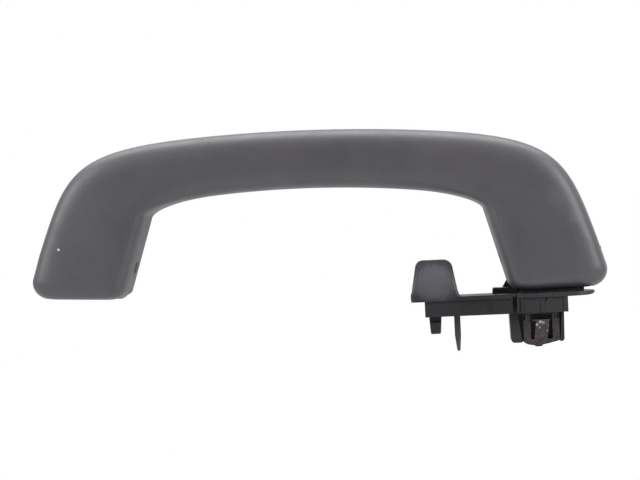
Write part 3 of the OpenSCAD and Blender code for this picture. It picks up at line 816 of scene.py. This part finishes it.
def clip_side(side):
    """One side of the clip: a sheet frame round a slanting tongue; side is -1 for the front."""
    y0, y1 = sorted((side * TOWER_HALF, side * (TOWER_HALF + CLIP_T)))
    frame_line = [(CORE_RIGHT, CLIP_TOP), (CORE_LEFT, CLIP_TOP)] + underside(CORE_UNDER - CLIP_T)
    sheet = along_y("sheet", frame_line, y0, y1)
    without(sheet, block(*WINDOW_X, y0 - 1, y1 + 1, WINDOW_FOOT, CLIP_WINDOW_TOP))
    inside, outside, out = TOWER_HALF, TOWER_HALF + CLIP_T, CLIP_TONGUE_OUT
    slope = [
        (inside, CLIP_TONGUE_ROOT), (inside, CLIP_TONGUE_FOOT), (inside + out, CLIP_TONGUE_TOP),
        (outside + out, CLIP_TONGUE_TOP), (outside, CLIP_TONGUE_FOOT), (outside, CLIP_TONGUE_ROOT),
    ]
    tongue = along_x("tongue", [(side * y, z) for y, z in slope], -3, 7)
    combine(tongue, along_y("face", CLIP_TONGUE, -BEYOND, BEYOND), "INTERSECT")
    return combine(sheet, tongue, "UNION")


def clip_base():
    """The spring clip: two sides joined by a bowed strip under the core."""
    strip = underside(CORE_UNDER) + underside(CORE_UNDER - CLIP_T)[::-1]
    under = along_y("under", strip, -TOWER_HALF - CLIP_T, TOWER_HALF + CLIP_T)
    left, right, half = NUB_LEFT - NUB_PLAY, NUB_RIGHT + NUB_PLAY, NUB_HALF + NUB_PLAY
    body = without(
        joined("clip", [under, clip_side(-1), clip_side(1)]),
        block(left, right, -half, half, -BEYOND, CORE_UNDER + NUB_PLAY),
        block(*CLIP_SLIT, SLIT_FRONT, 0, *LEFT_SLIT_Z), block(*BACK_SLIT, 0, -SLIT_FRONT, *LEFT_SLIT_Z),
        block(*RIGHT_SLIT, SLIT_FRONT, -SLIT_FRONT, *RIGHT_SLIT_Z),
    )
    return round_edges(lean_base(body), CLIP_EDGE, 2)


def node_input(shader, name, value):
    shader.inputs[name].default_value = value


class Look:
    """A node material built up step by step."""

    def __init__(self, name):
        self.material = bpy.data.materials.new(name)
        self.material.use_nodes = True
        self.tree = self.material.node_tree
        self.tree.nodes.clear()
        self.output = self.add("ShaderNodeOutputMaterial")
        self.shader = self.add("ShaderNodeBsdfPrincipled")
        self.link(self.shader.outputs["BSDF"], self.output.inputs["Surface"])
        self.place = self.add("ShaderNodeTexCoord").outputs["Object"]

    def add(self, kind, **values):
        node = self.tree.nodes.new(kind)
        for key, value in values.items():
            setattr(node, key, value)
        return node

    def link(self, source, target):
        self.tree.links.new(source, target)

    def noise(self, size_mm, detail=4.0):
        node = self.add("ShaderNodeTexNoise")
        self.link(self.place, node.inputs["Vector"])
        node_input(node, "Scale", 1 / (size_mm * MM))
        node_input(node, "Detail", detail)
        node_input(node, "Roughness", 0.55)
        return node.outputs["Fac"]

    def grains(self, size_mm):
        node = self.add("ShaderNodeTexVoronoi", feature="SMOOTH_F1")
        self.link(self.place, node.inputs["Vector"])
        node_input(node, "Scale", 1 / (size_mm * MM))
        node_input(node, "Smoothness", 0.6)
        return node.outputs["Distance"]

    def remap(self, value, low, high, out_low=0.0, out_high=1.0):
        node = self.add("ShaderNodeMapRange")
        self.link(value, node.inputs["Value"])
        for key, number in (("From Min", low), ("From Max", high), ("To Min", out_low), ("To Max", out_high)):
            node_input(node, key, number)
        return node.outputs["Result"]

    def maths(self, operation, a, b):
        node = self.add("ShaderNodeMath", operation=operation)
        for socket, value in zip(node.inputs, (a, b)):
            if isinstance(value, (int, float)):
                socket.default_value = value
            else:
                self.link(value, socket)
        return node.outputs["Value"]

    def blend(self, factor, a, b):
        node = self.add("ShaderNodeMix", data_type="RGBA")
        for key, value in (("Factor", factor), ("A", a), ("B", b)):
            socket = next(s for s in node.inputs if s.name == key and s.enabled)
            if isinstance(value, tuple):
                socket.default_value = (*value, 1.0)
            elif isinstance(value, (int, float)):
                socket.default_value = value
            else:
                self.link(value, socket)
        return next(s for s in node.outputs if s.enabled)

    def bump(self, height, strength, distance_mm, after=None):
        node = self.add("ShaderNodeBump")
        self.link(height, node.inputs["Height"])
        node_input(node, "Strength", strength)
        node_input(node, "Distance", distance_mm * MM)
        if after is not None:
            self.link(after, node.inputs["Normal"])
        return node.outputs["Normal"]

    def near(self, spot_mm, radius_mm, ragged=0.35, grain_mm=0.5):
        """One inside a ragged spot of the surface, nought outside it."""
        measure = self.add("ShaderNodeVectorMath", operation="DISTANCE")
        self.link(self.place, measure.inputs[0])
        measure.inputs[1].default_value = [c * MM for c in spot_mm]
        edge = self.remap(self.noise(grain_mm), 0.25, 0.75, 1 - ragged, 1 + ragged)
        size = self.maths("MULTIPLY", edge, radius_mm * MM)
        share = self.maths("DIVIDE", measure.outputs["Value"], size)
        return self.remap(share, 1.15, 0.7)

    def set(self, name, value):
        if isinstance(value, (int, float, tuple)):
            self.shader.inputs[name].default_value = value
        else:
            self.link(value, self.shader.inputs[name])


def moulded_plastic(name, tones, rough, grain_mm=0.45, grain_depth=0.05, wear_and_highlights=(), gloss=0.5):
    """Dark moulded plastic with a fine grain, faint clouds and rubbed patches, and coloured spots laid on:
    worn marks on the handle, painted highlight on the hook module.
    """
    look = Look(name)
    dark, pale = tones
    clouds = look.remap(look.noise(22.0, 3.0), 0.35, 0.65)
    speckle = look.remap(look.noise(0.55, 2.0), 0.42, 0.72)
    tone = look.blend(clouds, dark, pale)
    tone = look.blend(look.maths("MULTIPLY", speckle, 0.3), tone, tuple(c * 1.7 for c in pale))
    rubbed = look.remap(look.noise(9.0, 5.0), 0.3, 0.7, rough - 0.05, rough + 0.05)
    # Each spot is a worn mark on the handle, or painted highlight on the hook module
    for spot, radius, strength, colour in wear_and_highlights:
        mark = look.maths("MULTIPLY", look.near(spot, radius), strength)
        tone = look.blend(mark, tone, colour)
    look.set("Base Color", tone)
    look.set("Roughness", rubbed)
    look.set("Specular IOR Level", gloss)
    fine = look.bump(look.grains(grain_mm), 0.5, grain_depth)
    look.set("Normal", look.bump(look.noise(1.6, 2.0), 0.25, 0.05, fine))
    return look


def phosphated_steel(name, tones, worn):
    """Dark phosphated spring steel, rubbed bright in some spots."""
    look = Look(name)
    tone = look.blend(look.remap(look.noise(1.3, 4.0), 0.35, 0.65), *tones)
    shine = look.remap(look.noise(0.8, 3.0), 0.3, 0.7, 0.42, 0.6)
    for spot, radius, strength in worn:
        mark = look.maths("MULTIPLY", look.near(spot, radius, 0.6, 0.35), strength)
        tone = look.blend(mark, tone, WORN_STEEL)
        shine = look.maths("SUBTRACT", shine, look.maths("MULTIPLY", mark, 0.1))
    look.set("Base Color", tone)
    look.set("Metallic", 0.75)
    look.set("Roughness", shine)
    look.set("Normal", look.bump(look.noise(0.5, 3.0), 0.3, 0.03))
    return look


def ground_steel(name, tones):
    """Bright ground steel with fine turning marks and a thin film of grease."""
    look = Look(name)
    rings = look.add("ShaderNodeTexWave", bands_direction="X")
    look.link(look.place, rings.inputs["Vector"])
    node_input(rings, "Scale", 1 / (0.5 * MM))
    node_input(rings, "Distortion", 2.0)
    film = look.remap(look.noise(2.4, 3.0), 0.4, 0.7)
    look.set("Base Color", look.blend(film, *tones))
    look.set("Metallic", 1.0)
    look.set("Roughness", look.remap(look.noise(1.1, 3.0), 0.3, 0.7, 0.24, 0.42))
    look.set("Normal", look.bump(rings.outputs["Fac"], 0.2, 0.01))
    return look


def acetal(name, tones, rough):
    """Unfilled acetal: smooth, slightly cloudy and faintly scuffed."""
    look = Look(name)
    look.set("Base Color", look.blend(look.remap(look.noise(5.0, 4.0), 0.35, 0.65), *tones))
    look.set("Roughness", look.remap(look.noise(1.8, 4.0), 0.3, 0.7, rough - 0.06, rough + 0.08))
    look.set("Subsurface Weight", 0.05)
    look.set("Normal", look.bump(look.noise(0.7, 2.0), 0.15, 0.02))
    return look


def dress(piece, look, body, slot, *nodes):
    """Gives a piece its finish, its body and the CAD nodes that it stands for."""
    piece.data.materials.clear()
    piece.data.materials.append(look.material)
    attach(piece, body)
    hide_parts(*nodes)


def finish_node(node, look):
    """Gives a CAD node that is shown as it is its finish."""
    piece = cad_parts[node]
    piece.data.materials.clear()
    piece.data.materials.append(look.material)


def camera():
    data = bpy.data.cameras.new("camera")
    data.sensor_width = SENSOR
    data.lens = SENSOR * CAMERA_DISTANCE / (MM_PER_PIXEL * IMAGE_WIDTH)
    data.shift_x = (IMAGE_WIDTH / 2 - HANDLE_MIDDLE_PIXEL) / IMAGE_WIDTH
    data.clip_start, data.clip_end = 0.01, 20.0
    shot = bpy.data.objects.new("camera", data)
    bpy.context.scene.collection.objects.link(shot)
    a = math.radians(CAMERA_AZIMUTH)
    back = Vector((math.sin(a), -math.cos(a), 0))
    shot.location = (Vector(HANDLE_MIDDLE) + back * CAMERA_DISTANCE) * MM
    turn = (-back).to_track_quat("-Z", "Y").to_matrix().to_4x4()
    roll = Matrix.Rotation(math.radians(-CAMERA_ROLL), 4, "Z")
    shot.matrix_world = Matrix.Translation(shot.location) @ turn @ roll
    bpy.context.scene.camera = shot


def area_light(name, place, aim, size, power_w):
    data = bpy.data.lights.new(name, "AREA")
    data.shape, data.size, data.size_y = "RECTANGLE", size[0], size[1]
    data.energy = power_w
    lamp = bpy.data.objects.new(name, data)
    bpy.context.scene.collection.objects.link(lamp)
    lamp.location = place
    lamp.rotation_euler = (Vector(aim) - Vector(place)).to_track_quat("-Z", "Y").to_euler()
    lamp.visible_camera = False


def seen_directly(tree):
    """One for rays from the camera, reflections and clear materials, nought for light on the object."""
    path = tree.nodes.new("ShaderNodeLightPath")
    total = path.outputs["Is Camera Ray"]
    for name in ("Is Glossy Ray", "Is Transmission Ray"):
        either = tree.nodes.new("ShaderNodeMath")
        either.operation = "MAXIMUM"
        tree.links.new(total, either.inputs[0])
        tree.links.new(path.outputs[name], either.inputs[1])
        total = either.outputs["Value"]
    return total


def studio():
    """A white room that is dark on the side that the camera stands on, and three lamps."""
    world = bpy.data.worlds.new("studio")
    bpy.context.scene.world = world
    world.use_nodes = True
    tree = world.node_tree
    tree.nodes.clear()
    output = tree.nodes.new("ShaderNodeOutputWorld")
    light = tree.nodes.new("ShaderNodeBackground")
    white = tree.nodes.new("ShaderNodeBackground")
    place = tree.nodes.new("ShaderNodeTexCoord")
    parts = tree.nodes.new("ShaderNodeSeparateXYZ")
    shade = tree.nodes.new("ShaderNodeMapRange")
    tree.links.new(place.outputs["Generated"], parts.inputs["Vector"])
    tree.links.new(parts.outputs["Y"], shade.inputs["Value"])
    for name, number in zip(("From Min", "From Max", "To Min", "To Max"), ROOM_SHADE):
        shade.inputs[name].default_value = number
    tree.links.new(shade.outputs["Result"], light.inputs["Color"])
    tree.links.new(shade.outputs["Result"], white.inputs["Color"])
    light.inputs["Strength"].default_value = ROOM_LIGHT
    white.inputs["Strength"].default_value = 1.0
    either = tree.nodes.new("ShaderNodeMixShader")
    tree.links.new(seen_directly(tree), either.inputs["Fac"])
    tree.links.new(light.outputs["Background"], either.inputs[1])
    tree.links.new(white.outputs["Background"], either.inputs[2])
    tree.links.new(either.outputs["Shader"], output.inputs["Surface"])
    for name, lamp in LAMPS.items():
        area_light(name, *lamp)


def floor():
    """A white floor well under the part, which keeps its shadow."""
    far, low = FLOOR_REACH, -FLOOR_DROP
    corners = [(-far, -far, low), (far, -far, low), (far, FLOOR_BACK, low), (-far, FLOOR_BACK, low)]
    plane = new_mesh("floor", corners, [(0, 1, 2, 3)], scale=1.0)
    look = Look("floor_white")
    look.set("Base Color", FLOOR_GREY)
    look.set("Roughness", 0.9)
    glow = look.add("ShaderNodeEmission")
    node_input(glow, "Color", (1, 1, 1, 1))
    strength = look.tree.nodes.new("ShaderNodeMath")
    strength.operation = "MULTIPLY"
    look.link(seen_directly(look.tree), strength.inputs[0])
    strength.inputs[1].default_value = FLOOR_GLOW
    look.link(strength.outputs["Value"], glow.inputs["Strength"])
    both = look.add("ShaderNodeAddShader")
    look.link(look.shader.outputs["BSDF"], both.inputs[0])
    look.link(glow.outputs["Emission"], both.inputs[1])
    look.link(both.outputs["Shader"], look.output.inputs["Surface"])
    plane.data.materials.append(look.material)


def main():
    camera()
    studio()
    floor()
    handle_look = moulded_plastic("handle_charcoal", HANDLE_TONES, 0.5, wear_and_highlights=HANDLE_WEAR)
    bracket_look = moulded_plastic("bracket_black", BRACKET_TONES, 0.45, 0.8, 0.02, gloss=0.3)
    # The hook module's patches are painted highlight on its lit face and its locating pin
    hook_look = moulded_plastic("hook_charcoal", HOOK_TONES, 0.45, 0.5, 0.03, HOOK_PATCHES, 0.28)
    clip_look = phosphated_steel("clip_phosphated", CLIP_TONES, CLIP_WEAR)
    dress(grip(), handle_look, "handle", "handle_plastic", "handle_body")
    dress(bracket_base(), bracket_look, "base", "bracket_plastic", "hinge_bracket")
    dress(hook_base(), hook_look, "base", "hook_plastic", "coat_hook_module")
    dress(clip_base(), clip_look, "base", "clip_steel", "spring_clip")
    steel = ground_steel("pin_ground", PIN_TONES)
    finish_node("hinge_pin", steel)
    finish_node("left_hinge_pin", steel)
    finish_node("damper_housing", acetal("damper_natural", HOUSING_TONES, 0.4))
    finish_node("damper_rotor", acetal("rotor_natural", ROTOR_TONES, 0.38))
    finish_node("damper_cap", acetal("cap_grey", CAP_TONES, 0.42))
    finish_node("damper_seal", moulded_plastic("seal_nitrile", SEAL_TONES, 0.6, 0.3, 0.01))


main()
bpy.context.scene.view_settings.view_transform = "Standard"
